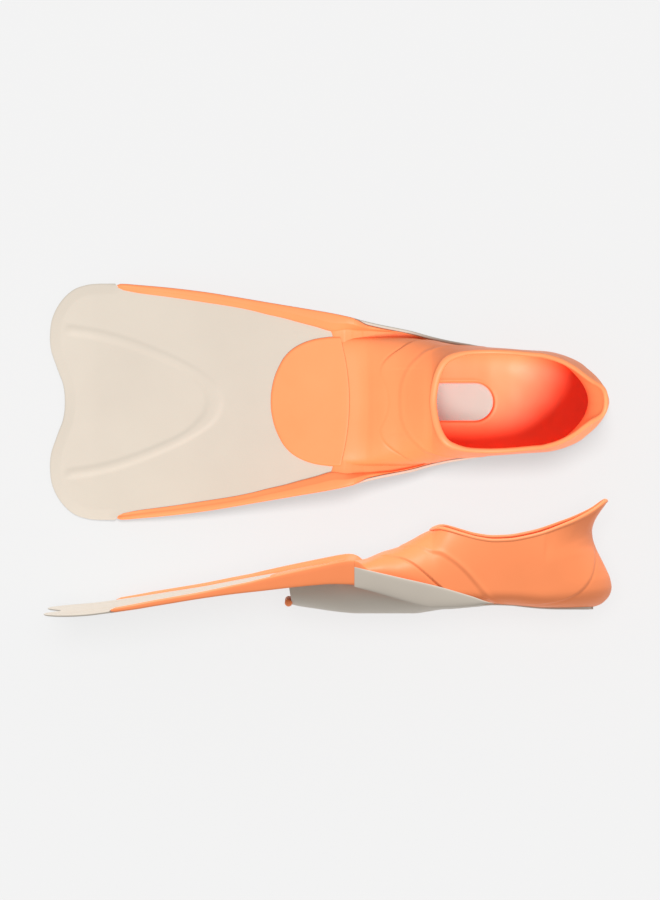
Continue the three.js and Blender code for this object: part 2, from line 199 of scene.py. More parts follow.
POCKET_LOW = pchip([
    (-33, 8), (-27, 6.6), (-12.6, 4.4), (1.8, 2.2), (16.2, 0.6), (25, 0.05), (74, 0.05),
    (88, 1.8), (102.6, 4.5), (117, 5.8), (131.4, 7.2), (145.8, 8.4), (160, 8),
    (174.6, 6.4), (189, 5.0), (203, 4.5), (240, 4.5),
])
POCKET_TOP = pchip([
    (-33, 34), (14, 46.2), (24, 46.9), (32, 48.4), (39.6, 51.8), (47, 55), (54, 57.2), (61, 59.6),
    (72, 65.6), (82.8, 72.0), (91, 76.3), (92.3, 77.8), (95.2, 82), (100.8, 91), (105, 96.5), (112.5, 104),
    (128, 120), (145.8, 127), (171, 128), (190, 128),
])
POCKET_MID = pchip([(-33, 24), (-10, 30), (14, 35), (45, 33), (60, 32), (100, 27), (150, 25), (190, 24.5)])
POCKET_N = pchip([(-33, 5), (14, 5.5), (30, 4.2), (45, 3.1), (60, 2.6), (80, 2.35), (99, 2.3), (128, 2.35), (160, 2.5), (190, 2.6)])
SPLIT = pchip([
    (-33, 27.4), (-27, 28.8), (1.8, 32), (14, 30), (45, 26), (73.8, 20), (88, 14),
    (99, 10.5), (117, 8.0), (140, 8.0),
])
RIM = pchip([
    (91.0, 76.3), (92.3, 76.9), (95.5, 77.8), (97.5, 78.2), (99.4, 78.3), (102.6, 77.8), (109, 76.0), (117, 73.3), (131.4, 69.2), (145.8, 67.3),
    (160.2, 67.9), (174.6, 70.4), (190, 74.4), (203.4, 79.2), (217.8, 84.6), (232, 91.5), (246, 101),
])
MOUTH_X = 91.0
HEEL_X = 190.0
WING_TOP = pchip([(22, 44.8), (60, 35.4), (97, 26.2), (134, 14.8), (145, 11.6)])
WING_LOW = pchip([(22, 26.8), (45, 20.2), (66, 13.6), (82, 8.8), (90, 7.4), (110, 7.6), (145, 9.8)])


def wing_thick(x):
    return float(0.8 + 2.3 * smooth(22, 34, x) - 1.3 * smooth(95, 140, x))


# ---------------------------------------------------------------- meshes
MADE = {}


def make(name, v, faces, f, mat, slot, weld=0.0, sharp=38.0, body=None, bend=None, cad=()):
    me = bpy.data.meshes.new(name)
    me.from_pydata(place(v, f).tolist(), [], [list(map(int, q)) for q in faces])
    bm = bmesh.new()
    bm.from_mesh(me)
    loose = [q for q in bm.verts if not q.link_faces]
    bmesh.ops.delete(bm, geom=loose, context="VERTS")
    if weld:
        bmesh.ops.remove_doubles(bm, verts=bm.verts, dist=weld / 1000)
    bmesh.ops.recalc_face_normals(bm, faces=bm.faces)
    for q in bm.faces:
        q.smooth = True
    for e in bm.edges:
        if len(e.link_faces) == 2 and e.calc_face_angle(0) > math.radians(sharp):
            e.smooth = False
    bm.to_mesh(me)
    bm.free()
    me.materials.append(mat)
    ob = bpy.data.objects.new(name, me)
    bpy.context.scene.collection.objects.link(ob)
    if cad:
        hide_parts(*cad)
    if bend:
        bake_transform(ob)
    else:
        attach(ob, (body or "foot_") + f)
    MADE[name] = ob
    return ob


def grid(nu, nv, wrap_v=False, flip=False):
    q = []
    for i in range(nu - 1):
        for j in range(nv if wrap_v else nv - 1):
            k = (j + 1) % nv
            a, b, c, d = i * nv + j, i * nv + k, (i + 1) * nv + k, (i + 1) * nv + j
            q.append((a, d, c, b) if flip else (a, b, c, d))
    return q


def tube_of(rings):
    """Closed body through rings, with its two ends capped."""
    rings = np.asarray(rings, float)
    n, m, _ = rings.shape
    faces = grid(n, m, wrap_v=True)
    faces.append(list(range(m))[::-1])
    faces.append([(n - 1) * m + k for k in range(m)])
    return rings.reshape(-1, 3), faces


def sheet_normals(p):
    """Unit normals of a grid of points (nu, nv, 3)."""
    du = np.gradient(p, axis=0)
    dv = np.gradient(p, axis=1)
    n = np.cross(du, dv)
    return n / np.maximum(np.linalg.norm(n, axis=2, keepdims=True), 1e-9)


def both_sides(top, bottom):
    """Closed body between two grids with the same edge."""
    nu, nv, _ = top.shape
    v = np.concatenate([top.reshape(-1, 3), bottom.reshape(-1, 3)])
    n = nu * nv
    faces = grid(nu, nv, flip=True) + [tuple(n + k for k in q) for q in grid(nu, nv)]
    edge = (
        [(0, j) for j in range(nv)] + [(i, nv - 1) for i in range(1, nu)]
        + [(nu - 1, j) for j in range(nv - 2, -1, -1)] + [(i, 0) for i in range(nu - 2, 0, -1)]
    )
    ids = [i * nv + j for i, j in edge]
    for a, b in zip(ids, ids[1:] + ids[:1]):
        faces.append((a, b, n + b, n + a))
    return v, faces


# ---------------------------------------------------------------- materials
def principled(name):
    mat = bpy.data.materials.new(name)
    mat.use_nodes = True
    nt = mat.node_tree
    nt.nodes.clear()
    out = nt.nodes.new("ShaderNodeOutputMaterial")
    bsdf = nt.nodes.new("ShaderNodeBsdfPrincipled")
    nt.links.new(bsdf.outputs[0], out.inputs[0])
    return mat, nt, bsdf


def lin(r, g, b):
    def f(c):
        c /= 255
        return c / 12.92 if c <= 0.04045 else ((c + 0.055) / 1.055) ** 2.4

    return (f(r), f(g), f(b), 1.0)


def noise(nt, scale, detail=3.0, rough=0.55, coord="Object"):
    tc = nt.nodes.new("ShaderNodeTexCoord")
    n = nt.nodes.new("ShaderNodeTexNoise")
    n.inputs["Scale"].default_value = scale
    n.inputs["Detail"].default_value = detail
    n.inputs["Roughness"].default_value = rough
    nt.links.new(tc.outputs[coord], n.inputs["Vector"])
    return n


def remap(nt, src, lo, hi):
    m = nt.nodes.new("ShaderNodeMapRange")
    m.inputs["From Min"].default_value = 0.3
    m.inputs["From Max"].default_value = 0.7
    m.inputs["To Min"].default_value = lo
    m.inputs["To Max"].default_value = hi
    nt.links.new(src, m.inputs["Value"])
    return m.outputs[0]


def two_tone(nt, src, a, b):
    r = nt.nodes.new("ShaderNodeValToRGB")
    r.color_ramp.elements[0].position, r.color_ramp.elements[1].position = 0.3, 0.7
    r.color_ramp.elements[0].color, r.color_ramp.elements[1].color = a, b
    nt.links.new(src, r.inputs[0])
    return r.outputs[0]


def surface(name, low, high, rough, fine, bump, sss=0.0, spec=0.4, sheen=0.0):
    """Moulded polymer: faint mottling in colour and gloss, and a fine mould texture."""
    mat, nt, bsdf = principled(name)
    big = noise(nt, 14, 3)
    nt.links.new(two_tone(nt, big.outputs[0], low, high), bsdf.inputs["Base Color"])
    mid = noise(nt, 60, 4)
    nt.links.new(remap(nt, mid.outputs[0], *rough), bsdf.inputs["Roughness"])
    grain = noise(nt, fine, 2, 0.5)
    bp = nt.nodes.new("ShaderNodeBump")
    bp.inputs["Strength"].default_value = bump
    bp.inputs["Distance"].default_value = 0.0002
    nt.links.new(grain.outputs[0], bp.inputs["Height"])
    nt.links.new(bp.outputs[0], bsdf.inputs["Normal"])
    bsdf.inputs["Specular IOR Level"].default_value = spec
    bsdf.inputs["Subsurface Weight"].default_value = sss
    bsdf.inputs["Subsurface Radius"].default_value = (0.004, 0.0016, 0.0008)
    bsdf.inputs["Subsurface Scale"].default_value = 1.0
    bsdf.inputs["Sheen Weight"].default_value = sheen
    return mat


ORANGE = surface("soft_orange", (0.94, 0.272, 0.098, 1), (0.98, 0.29, 0.108, 1), (0.40, 0.5), 1600, 0.25, spec=0.3)
# A little lighter than the rest of the orange rubber: painted highlight along the rolled rim.
BEAD_PAINTED_HIGHLIGHT = surface("soft_orange_rim_painted_highlight", (0.96, 0.30, 0.115, 1), (0.99, 0.32, 0.125, 1), (0.38, 0.48), 1600, 0.2, spec=0.3)
# Darker, redder copy of the orange rubber for the inside of the pocket and the footbed: painted shade of the hollow,
# which the strong inside lamp lifts back to orange where it strikes.
LINING_PAINTED_SHADE = surface("soft_orange_inside_painted_shade", (0.79, 0.082, 0.029, 1), (0.83, 0.092, 0.033, 1), (0.5, 0.6), 1600, 0.25, spec=0.2)
PALE = surface("stiff_pale", (0.528, 0.47, 0.399, 1), (0.547, 0.49, 0.416, 1), (0.46, 0.56), 1400, 0.3, spec=0.3)
PALE_IN = surface("stiff_pale_insert", (0.455, 0.545, 0.485, 1), (0.475, 0.565, 0.505, 1), (0.5, 0.6), 1400, 0.3, spec=0.25)

# ---------------------------------------------------------------- blade
BEND = ("foot_", "blade_", (-42.0, 0, 30.6), (-112.0, 0, 30.6))


def blade_mesh():
    nu, nv = 190, 161
    half = spline([(x, y) for y, x in TIP], 400)  # (x, y) from the middle to the side
    s = np.linspace(-1, 1, nv)
    v = np.sign(s) * (1 - (1 - np.abs(s)) ** 1.25)  # closer rows near the side edges
    seg = np.r_[0, np.cumsum(np.linalg.norm(np.diff(half, axis=0), axis=1))]
    seg /= seg[-1]
    tx, ty = np.interp(np.abs(v), seg, half[:, 0]), np.sign(v) * np.interp(np.abs(v), seg, half[:, 1])
    k = np.linspace(0, 1, nu)
    u = 0.25 * k**2.4 + 0.75 * k**1.35
    root_x = 12.0
    sx = -207 + (root_x + 207) * u
    sy = np.where(sx < -193, 106.3, 0)
    inside = np.minimum(RAIL_IN(sx) + 2.0, np.interp(sx, [-6.0, 1.5, 5.0], [200.0, 67.0, 56.5]))
    step = smooth(-193.5, -190.5, sx)
    sy = 106.2 * (1 - step) + np.minimum(inside, 103.2) * step
    sy = np.where(sx < -190.5, sy, np.minimum(inside, 103.2))
    U, V = u[:, None], v[None, :]
    Tx, Ty = tx[None, :], ty[None, :]
    Rx, Ry = root_x, v[None, :] * sy[-1]
    Sx, Sy = sx[:, None], sy[:, None]
    # transfinite patch; the two sides mirror each other
    a, b = (1 + V) / 2, (1 - V) / 2
    X = (1 - U) * Tx + U * Rx + Sx - ((1 - U) * tx[-1] + U * root_x)
    Y = (1 - U) * Ty + U * Ry + (a - b) * Sy - (a - b) * ((1 - U) * ty[-1] + U * sy[-1])
    # distance from the free edge
    edge = np.concatenate([half[::-1] * [1, -1], half[1:]])
    edge = np.concatenate([[[-190.0, -106.2]], edge, [[-190.0, 106.2]]])
    edge = resample(edge, 420)
    d = np.full(X.shape, 1e9)
    for i in range(0, len(edge) - 1):
        ax, ay = edge[i]
        dx, dy = edge[i + 1] - edge[i]
        t = np.clip(((X - ax) * dx + (Y - ay) * dy) / (dx * dx + dy * dy), 0, 1)
        d = np.minimum(d, np.hypot(X - ax - t * dx, Y - ay - t * dy))
    zc, th = BLADE_Z(X), BLADE_T(X)
    r = 1.5
    prof = np.sqrt(np.clip(1 - (1 - np.clip(d / r, 0, 1)) ** 2, 0, 1))
    side_bevel = smooth(-186, -199, X)
    bevel = 1.0 * np.clip(1 - d / 9.5, 0, 1) ** 1.1 * np.clip(side_bevel + smooth(60, 105, np.abs(Y)) * 0 , 0, 1)
    # raised arch on the upper face
    arch = [(-244, 66), (-229, 64), (-216, 62), (-194, 57), (-170, 49), (-148, 40), (-134, 33.5), (-117, 22), (-106, 9.5), (-103.5, 0)]
    arch = spline(arch, 60)
    arch = np.concatenate([arch, arch[::-1][1:] * [1, -1]])
    da, _, along = to_line(X, Y, arch)
    wide = 3.6 + 3.2 * smooth(0.35, 0.5, along) * smooth(0.65, 0.5, along)
    rise = 0.85 * np.exp(-((da / wide) ** 4)) * smooth(-241, -232, X)
    # inside the arch the face would sit a touch lower, but the dish is set to zero
    dish = -0.25 * (1 - smooth(0, 6, da)) * 0
    top = np.stack([X, Y, zc + th / 2 * prof - bevel * prof + rise + dish], 2)
    low = np.stack([X, Y, zc - th / 2 * prof + 0.25 * np.clip(1 - d / 5, 0, 1) * prof], 2)
    return both_sides(top, low)


# ---------------------------------------------------------------- rails
def rail_mesh(side):
    xs = np.unique(np.concatenate([
        np.linspace(-192.4, -184, 14), np.linspace(-184, -70, 60), np.linspace(-70, -1, 50), np.linspace(0, 6, 8),
        np.linspace(6, 21.6, 16), [21.85, 22.15], np.linspace(22.6, 36, 18), np.linspace(36, 94, 50),
    ]))
    rings = []
    for x in xs:
        y0, y1 = float(RAIL_IN(x)), float(OUTER(x))
        z0, z1 = float(RAIL_LOW(x)), float(RAIL_TOP(x))
        zb = float(BLADE_Z(x)) + 1.6
        if x > 22:
            y1 -= wing_thick(x) - 0.25
            z1 = min(z1, float(WING_TOP(x)) + float(6.0 * (1 - smooth(23, 37, x))) - 0.3 - 1.2 * float(smooth(36, 60, x)))
        if x > 55:  # runs out along the pocket side
            y0 = y0 + (y1 - 1.0 - y0) * float(smooth(60, 88, x)) * 0.8
        y0 += 2.0 * float(smooth(3, 16, x) * smooth(84, 74, x))
        y0 = min(y0, y1 - 1.2)
        w = y1 - y0
        inner_top = y0 + w * 0.42
        start = float(smooth(-192.4, -188, x))
        # where the rail stands beside the tongue and the pocket it has a floor running inwards
        web = float(smooth(0.5, 5, x))
        yw = y0 - 0.4 - web * max(0.0, y0 - max(float(np.interp(x, [0, 5, 20, 30], [54.5, 50.0, 50.0, 54.5])), float(POCKET_W(x)) - 1.8 if x > 20 else 0.0))
        zw = zb + 0.2 - web * float(np.interp(x, [0, 13, 30, 45, 60, 88], [0, 0.0, 7.5, 12.5, 17.0, 22.0]))
        zi = max(zw + 0.4, min(zb + 0.6, z1 - 1.0) - web * float(np.interp(x, [5, 14, 30, 45, 60, 88], [0, 0.5, 7.0, 12.0, 16.5, 21.0])))
        poly = [
            (yw, z0 + (0.5 if x < 0 else 0.0)), (y1 - 0.9, z0), (y1 - 0.05, z0 + 0.8), (y1, (z0 + z1) / 2), (y1 - 0.15, z1 - 1.2),
            (y1 - 1.3, z1), (inner_top + 0.6, z1 - 0.1), (inner_top - 0.4, z1 - 0.9),
            (y0 + 0.5, zi + 0.35 * (z1 - zi)), (y0, zi + 0.5), (yw + 0.2, zw + 0.3), (yw, zw),
        ]
        poly = np.array(poly)
        c = poly.mean(0)
        c = np.array([(y0 + y1) / 2, (z0 + z1) / 2])
        poly = c + (poly - c) * (0.55 + 0.45 * start)
        ring = chaikin(poly, 2)
        # the front end is cut at a slant, its outer edge first
        slant = (1 - float(smooth(-192.4, -170, x))) * (y1 - ring[:, 0]) * 0.55
        rings.append(np.column_stack([x + slant, side * ring[:, 0], ring[:, 1]]))
    return tube_of(rings)


# ---------------------------------------------------------------- wings
def wing_mesh(side):
    xs = np.unique(np.concatenate([np.linspace(22.0, 24, 5), np.linspace(24, 145, 110)]))
    rings = []
    for x in xs:
        y1 = float(OUTER(x))
        t = wing_thick(x)
        tail = float(smooth(150, 126, x))
        zt, zl = float(WING_TOP(x)), float(WING_LOW(x))
        zm = (zt + zl) / 2
        zt, zl = zm + (zt - zm) * (0.15 + 0.85 * tail), zm + (zl - zm) * (0.15 + 0.85 * tail)
        inset = 0.0 if x < 125 else (x - 125) * 0.05
        y1 -= inset
        flare = min(0.9 * float(smooth(24, 50, x)), t * 0.4)  # the lower edge turns in towards the sole
        poly = [
            (y1 - t, zl + 0.3), (y1 - t * 0.55 - flare * 0.5, zl - 0.15), (y1 - 0.25 - flare, zl + 0.3), (y1 - flare * 0.3, zl + 0.3 * (zt - zl)),
            (y1, zl + 0.75 * (zt - zl)), (y1 - 0.12, zt - 0.5), (y1 - t * 0.5, zt + 0.1), (y1 - t + 0.1, zt - 0.4), (y1 - t, (zt + zl) / 2),
        ]
        ring = chaikin(poly, 2)
        rings.append(np.column_stack([np.full(len(ring), x), side * ring[:, 0], ring[:, 1]]))
    return tube_of(rings)


# ---------------------------------------------------------------- tongue panel
def panel_mesh():
    nu, nv = 110, 121
    side = [
        (-53.2, 0), (-53, 6), (-52, 13), (-49.8, 22), (-46.4, 30.4), (-41.6, 39), (-34.6, 46.4), (-27, 51.2),
        (-19.8, 54.2), (-12.6, 56.2), (-5.4, 57.3), (1.8, 58.0), (9.3, 58.2),
    ]
    half = spline(side, 300)
    front = half[half[:, 0] < -27]
    k = np.linspace(-1, 1, nv)
    v = np.sign(k) * (1 - (1 - np.abs(k)) ** 1.3)
    seg = np.r_[0, np.cumsum(np.linalg.norm(np.diff(front, axis=0), axis=1))]
    seg /= seg[-1]
    tx, ty = np.interp(np.abs(v), seg, front[:, 0]), np.sign(v) * np.interp(np.abs(v), seg, front[:, 1])
    u = np.linspace(0, 1, nu) ** 1.5
    rest = half[half[:, 0] >= front[-1, 0]]
    side_pts = resample(rest, u)
    sx, sy = side_pts[:, 0], side_pts[:, 1]
    U, V = u[:, None], v[None, :]
    X = (1 - U) * tx[None, :] + U * sx[-1] + sx[:, None] - ((1 - U) * tx[-1] + U * sx[-1])
    Y = (1 - U) * ty[None, :] + U * V * sy[-1] + V * sy[:, None] - V * ((1 - U) * ty[-1] + U * sy[-1])
    outline = np.concatenate([half[::-1] * [1, -1], half[1:]])
    outline = resample(outline, 300)
    d, _, _ = to_line(X, Y, outline)
    r = 2.4
    prof = np.sqrt(np.clip(1 - (1 - np.clip(d / r, 0, 1)) ** 2, 0, 1))
    # the back edge is a shallow arc against the toe box
    end = 17.25 - 8.0 * np.clip(np.abs(Y) / 57, 0, 1.05) ** 2
    X = X + (end - 9.3) * np.clip((X + 24) / 33.3, 0, 1) ** 1.5
    back = np.clip((end - X) / 1.3, 0, 1)
    prof = prof * (0.88 + 0.12 * np.sqrt(np.clip(1 - (1 - back) ** 2, 0, 1)))
    base = BLADE_Z(X) + BLADE_T(X) / 2
    crown = 0.5 * (1 - np.clip(np.abs(Y) / 58, 0, 1) ** 2) * smooth(-50, -20, X)
    top = np.stack([X, Y, base + 0.05 + 1.9 * prof + crown * prof], 2)
    low = np.stack([X, Y, base - 0.6 + 0 * X], 2)
    return both_sides(top, low)


# ---------------------------------------------------------------- foot pocket
def section(x, phi):
    """Half section of the pocket at x: (y, z) for angles from -90 (under) to 90 (top) degrees."""
    w, lo, mid, top = float(POCKET_W(x)), float(POCKET_LOW(x)), float(POCKET_MID(x)), float(POCKET_TOP(x))
    n, m = float(POCKET_N(x)), 3.3
    c, s = np.cos(phi), np.sin(phi)
    c = np.clip(c, 0, None)
    y = w * c ** np.where(s >= 0, 2 / n, 2 / m)
    z = mid + np.where(s >= 0, (top - mid) * np.abs(s) ** (2 / n), -(mid - lo) * np.abs(s) ** (2 / m))
    return np.column_stack([y, z])


PHI = np.linspace(-math.pi / 2, math.pi / 2, 900)
MID_J = 450


def pocket_start(x):
    """Where the rubber begins on the section: at the seam with the trough in front, under the heel behind."""
    p = section(x, PHI)
    z_cut = float(SPLIT(x))
    i_side = int(np.searchsorted(p[:, 1], z_cut - 1.0))
    ys = p[:MID_J, 0]
    i_under = int(np.argmin(np.abs(ys - 19.0)))
    f = float(smooth(99, 140, x))
    return int(round(i_side * (1 - f) + i_under * f))


M = 96


def along_section(x, s):
    """Point of the section at x at arc positions s from the widest line."""
    p = section(x, PHI)
    full = np.r_[0, np.cumsum(np.linalg.norm(np.diff(p, axis=0), axis=1))]
    full = full - full[MID_J]
    return np.column_stack([np.interp(s, full, p[:, 0]), np.interp(s, full, p[:, 1])]), full[0], full[-1]


def section_normal(x, s):
    a, _, _ = along_section(x - 0.4, s)
    b, _, _ = along_section(x + 0.4, s)
    _, lo, hi = along_section(x, s)
    e, _, _ = along_section(x, np.clip(s - 0.5, lo, hi - 1.0))
    g, _, _ = along_section(x, np.clip(s + 0.5, lo + 1.0, hi))
    du = np.column_stack([np.full(len(s), 0.8), b - a])
    dv = np.column_stack([np.zeros(len(s)), g - e])
    n = -np.cross(du, dv)
    return n / np.linalg.norm(n, axis=1, keepdims=True)


def pocket_station(x):
    p = section(x, PHI)
    i0 = pocket_start(x)
    if x <= MOUTH_X:
        i1 = len(PHI) - 1
        line = p[i0:]
        line[-1, 0] = 0.0
    else:
        rim = float(RIM(x))
        rim = min(rim, float(p[-1, 1]) - 0.01)
        i1 = min(int(np.searchsorted(p[:, 1], rim)), len(p) - 1)
        line = p[i0:i1 + 1].copy()
        a, b = p[i1 - 1], p[i1]
        t = (rim - a[1]) / max(b[1] - a[1], 1e-9)
        line[-1] = a + (b - a) * t
    full = np.r_[0, np.cumsum(np.linalg.norm(np.diff(p, axis=0), axis=1))]
    s_mid = full[MID_J]
    q = resample(line, M + 1)
    s0 = full[i0] - s_mid
    length = np.linalg.norm(np.diff(line, axis=0), axis=1).sum()
    s = s0 + np.linspace(0, length, M + 1)
    return np.column_stack([np.full(M + 1, x), q]), s


BACK = spline([
    (209, 4.6), (220, 4.5), (231, 5.0), (239.0, 7.0), (245.4, 11.6), (249.3, 17.4), (250.6, 23), (249.4, 31),
    (245.8, 40), (240.8, 50.5), (236.4, 60), (233.8, 68.5), (233.2, 75), (234.4, 81), (237, 87), (240.6, 92.8),
    (244.0, 97.6), (246.6, 101.6),
], M + 1)
RIM_PLAN = pchip([(0, 190), (13, 203.4), (28, 217.8), (41, 228.0), (52, 234.2), (62, 238.8), (72, 243), (81, 245.8), (90, 246.6)])
RIM_HALF = [(0, None), (13, 38.6), (28, 31.2), (41, 23.4), (52, 18.8), (62, 16.2), (72, 12.8), (81, 7.4), (90, 0)]


def pocket_grid():
    """Outer face of the rubber, one half: (stations, M+1, 3), arc position from the widest line, and station coordinate."""
    xs = np.concatenate([
        [14, 14.25, 14.55, 14.9, 15.3, 15.8, 16.4], np.linspace(17, 60, 42), np.linspace(60, MOUTH_X, 40)[1:],
        MOUTH_X + (np.linspace(0, 1, 40)[1:] ** 2) * 14.0,
        np.linspace(MOUTH_X + 14.0, HEEL_X, 62)[1:],
    ])
    rows, arcs, along, normals = [], [], [], []
    for x in xs:
        p, s = pocket_station(float(x))
        rows.append(p)
        arcs.append(s)
        along.append(x)
        normals.append(section_normal(float(x), s))
    last = len(rows) - 1
    side, side_s = rows[-1], arcs[-1]
    ry = side[-1, 1]
    rim_half = pchip([(a, ry if h is None else h) for a, h in RIM_HALF])
    zeta = np.linspace(0, 1, M + 1)
    upper = np.clip((zeta - 0.66) / 0.34, 0, 1)
    upper = upper**2 * (3 - 2 * upper)
    p_exp = 1.72
    for a in np.linspace(0, 90, 64)[1:]:
        r = math.radians(a)
        sa, ca = math.sin(r) ** (2 / p_exp), max(math.cos(r), 0) ** (2 / p_exp)
        m = math.sin(r) ** 1.5
        zb = side[:, 2] * (1 - m) + BACK[:, 1] * m
        X = HEEL_X + (BACK[:, 0] - HEEL_X) * sa
        Y = side[:, 1] * ca
        rx, rh = float(RIM_PLAN(a)), float(rim_half(a))
        X = X * (1 - upper) + (rx + (BACK[:, 0] - BACK[-1, 0]) * sa) * upper
        # the flare carries the rim's own plan curve
        Y = Y * (1 - upper) + (rh + (Y - Y[-1]) * 0.55) * upper
        rim_z = float(RIM(rx))
        zt = zb + (rim_z - zb[-1]) * zeta**2.2
        if a >= 90:
            Y = Y * 0
        rows.append(np.column_stack([X, Y, zt]))
        arcs.append(side_s)
        along.append(HEEL_X + a)
    P = np.array(rows)
    n = sheet_normals(P)
    if n[60, 70, 1] < 0:
        n = -n
    n[: last - 2] = np.array(normals)[: last - 2]
    n[-1, :, 1] = 0
    return P, np.array(arcs), np.array(along), n / np.linalg.norm(n, axis=2, keepdims=True)


def on_section(kind, x, value):
    """Arc position from the widest line of the point of the section at x with that half-width or height."""
    p = section(x, PHI)
    full = np.r_[0, np.cumsum(np.linalg.norm(np.diff(p, axis=0), axis=1))]
    s = full - full[MID_J]
    if kind == "y":
        return float(np.interp(-value, -p[MID_J:, 0], s[MID_J:]))
    return float(np.interp(value, p[:, 1], s))


def seam(points):
    return spline([(x, on_section(k, x, v)) for k, x, v in points], 90)


SEAM_TOE = seam([
    ("y", 53, 0.0), ("y", 51.5, 10), ("y", 48, 19), ("y", 45, 26), ("y", 46.5, 32), ("y", 53, 40), ("z", 64, 51.5),
    ("z", 74.5, 46.4), ("z", 87, 36.2), ("z", 96.5, 27.6), ("z", 108, 17.5), ("z", 118, 10.5),
])
SEAM_BAND = seam([
    ("y", 63.5, 0.0), ("y", 64.5, 13), ("y", 67, 22), ("y", 72, 31), ("y", 80, 39), ("y", 89, 45),
    ("z", 98, 57), ("z", 106, 52.5), ("z", 113.5, 47), ("z", 121, 40), ("z", 130, 29.5), ("z", 140, 17.5), ("z", 152, 10.5),
])


def pocket_outer():
    P, S, A, n = pocket_grid()
    X = np.repeat(A[:, None], M + 1, 1)
    front = (X <= HEEL_X + 0.01).astype(float)
    # toe seam: the band overlaps the toe cap with a small lip
    d, sg, al = to_line(X, S, SEAM_TOE)
    ds = d * sg
    if ds[50, M] < 0:
        ds = -ds
    # fades at the middle of the instep, where it turns into a low ridge
    strength = 0.16 + 0.84 * smooth(0.22, 0.40, al)
    lip = 1.15 * smooth(-0.9, 0.9, ds) * np.exp(-np.clip(ds, 0, None) / 16.0) - 0.65 * np.exp(-(((ds + 0.9) / 0.8) ** 2))
    disp = front * strength * lip
    # band seam: a soft raised line, the heel side standing a little higher
    d, sg, al = to_line(X, S, SEAM_BAND)
    ds = d * sg
    if ds[100, M] < 0:
        ds = -ds
    ridge = 0.75 * np.exp(-((ds / 2.4) ** 2)) + 0.7 * smooth(-2.2, 1.5, ds) * np.exp(-np.clip(ds, 0, None) / 22.0) - 0.25 * np.exp(-(((ds + 3.2) / 1.5) ** 2))
    disp = disp + front * ridge * (0.42 + 0.38 * smooth(0.18, 0.42, al) + 0.2 * smooth(0.5, 0.7, al))
    # line round the lower heel
    heel = spline([(234.5, 60), (235.2, 50), (233.2, 38), (227, 26.5), (217, 18), (205, 13), (190, 10.2), (172, 9.2)], 60)
    d, sg, al = to_line(P[:, :, 0], P[:, :, 2], heel)
    ds = d * sg
    probe = (np.abs(P[:, :, 0] - 200) < 6) & (np.abs(P[:, :, 2] - 40) < 6)
    if ds[probe].mean() < 0:
        ds = -ds
    back = smooth(168, 182, P[:, :, 0]) * smooth(62, 54, P[:, :, 2])
    disp = disp + back * (0.8 * smooth(-1.0, 0.9, ds) * np.exp(-np.clip(ds, 0, None) / 12.0) - 0.4 * np.exp(-(((ds + 1.0) / 1.0) ** 2)))
    # the relief fades out at the lower edge of the rubber
    disp = disp * smooth(0, 0.03, np.linspace(0, 1, M + 1))[None, :]
    # rounded front edge against the tongue
    disp = disp - 0.25 * (1 - np.sqrt(np.clip(1 - (1 - np.clip((A - 14) / 1.3, 0, 1)) ** 2, 0, 1)))[:, None]
    Q = P + n * disp[:, :, None]
    closed = A <= MOUTH_X + 1e-6
    Q[closed, -1, 1] = 0.0
    Q[-1, :, 1] = 0.0
    # the front edge bows back over the middle of the toes
    bow = 3.4 - 8.0 * np.clip(np.abs(P[:, :, 1]) / 57, 0, 1) ** 2
    fade = (1 - smooth(14, 44, A))[:, None]
    Q[:, :, 0] += bow * fade * (X < 60)
    return Q, A, n


POCKET, STATION, NORMAL = pocket_outer()
TAB_BEND = ("foot_", "tab_", (229.5, 0, 78.0), (239.5, 0, 90.0))


def pocket_mesh():
    """Rubber shell: outer face, an inner face one wall inside it, and their edges, both halves welded."""
    Q = POCKET
    n = NORMAL.copy()
    closed = STATION <= MOUTH_X + 1e-6
    n[closed, -1, 1] = 0
    n /= np.maximum(np.linalg.norm(n, axis=2, keepdims=True), 1e-9)
    wall = 3.0 + 0.4 * np.linspace(1, 0, Q.shape[1])[None, :, None]
    I = Q - n * wall
    I[:, :, 1] = np.where(Q[:, :, 1] > 0.05, np.maximum(I[:, :, 1], 0.02), 0.0)
    nu, nv, _ = Q.shape
    # above this index the inner face belongs to the flared tab
    tab_j = int(np.argmax(BACK[:, 1] > 71.0))
    edge_j = nv + 1 - (nv + 1 - tab_j) * smooth(8, 46, STATION - HEEL_X)
    parts, faces, inner, off = [], [], [], 0
    for side in (1, -1):
        m = np.array([1, side, 1])
        o = (Q * m).reshape(-1, 3)
        i = (I * m).reshape(-1, 3)
        base = off
        parts += [o, i]
        k = nu * nv
        faces += [tuple(base + a for a in q) for q in grid(nu, nv, flip=side < 0)]
        for q in grid(nu, nv, flip=side > 0):
            row, col = q[0] // nv, q[0] % nv
            (faces if col + 1 > edge_j[row] else inner).append(tuple(base + k + a for a in q))
        lows = [a * nv for a in range(nu)]
        rims = [a * nv + nv - 1 for a in range(nu) if not closed[a]]
        rims = [(int(closed.sum()) - 1) * nv + nv - 1] + rims
        fronts = list(range(nv))
        for chain in (lows, rims, fronts):
            for a, b in zip(chain, chain[1:]):
                faces.append((base + a, base + b, base + k + b, base + k + a))
        off += 2 * k
    v = np.concatenate(parts)
    return (v, faces), (v, inner)


POCKET_SKIN, POCKET_LINING = pocket_mesh()


